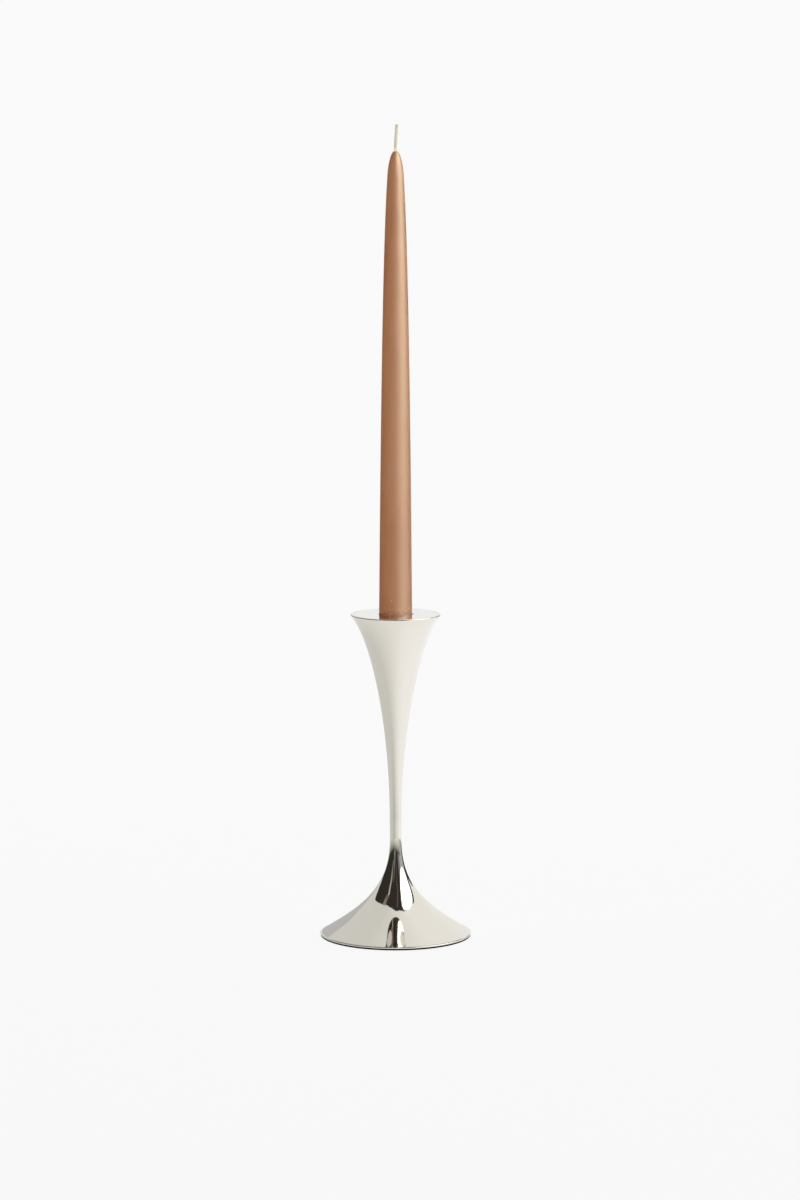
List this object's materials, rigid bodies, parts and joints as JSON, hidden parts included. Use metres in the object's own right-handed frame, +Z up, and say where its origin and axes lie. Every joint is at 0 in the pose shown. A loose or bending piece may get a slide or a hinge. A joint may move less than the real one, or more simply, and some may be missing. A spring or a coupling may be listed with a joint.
{
  "type": "candlestick",
  "caption": "Slender polished candlestick with a trumpet foot and a bell-shaped flat top, holding a removable taper candle in a drawn cup.",
  "frame": {"origin": "on the axis at the underside of the pad, on the surface that the candlestick stands on", "axes": "+Z up along the stem and candle; the candle's wick leans slightly towards +X, and the side seen in use faces -Y"},
  "size_m": [0.0996, 0.0996, 0.5326],
  "materials": {
    "polished_plate": "polished",
    "zinc_steel": "satin",
    "raw_iron": "matte",
    "foam_pad": "matte",
    "white_wax": "satin",
    "dyed_wax": "satin",
    "cotton_wick": "matte"
  },
  "bodies": {
    "holder": {"foot_shell": "polished_plate", "stem_bell": "polished_plate", "top_plate": "polished_plate", "candle_socket": "polished_plate", "tie_rod": "zinc_steel", "tie_rod_washer": "zinc_steel", "tie_rod_spring_washer": "zinc_steel", "tie_rod_nut": "zinc_steel", "ballast": "raw_iron", "base_plate": "zinc_steel", "base_pad": "foam_pad"},
    "candle": {"candle_core": "white_wax", "candle_colour_coat": "dyed_wax", "wick": "cotton_wick"}
  },
  "joints": [
    {"name": "candle_lift", "type": "slide", "parent": "holder", "child": "candle", "axis": [0, 0, 1], "range_m": [0, 0.06]}
  ]
}
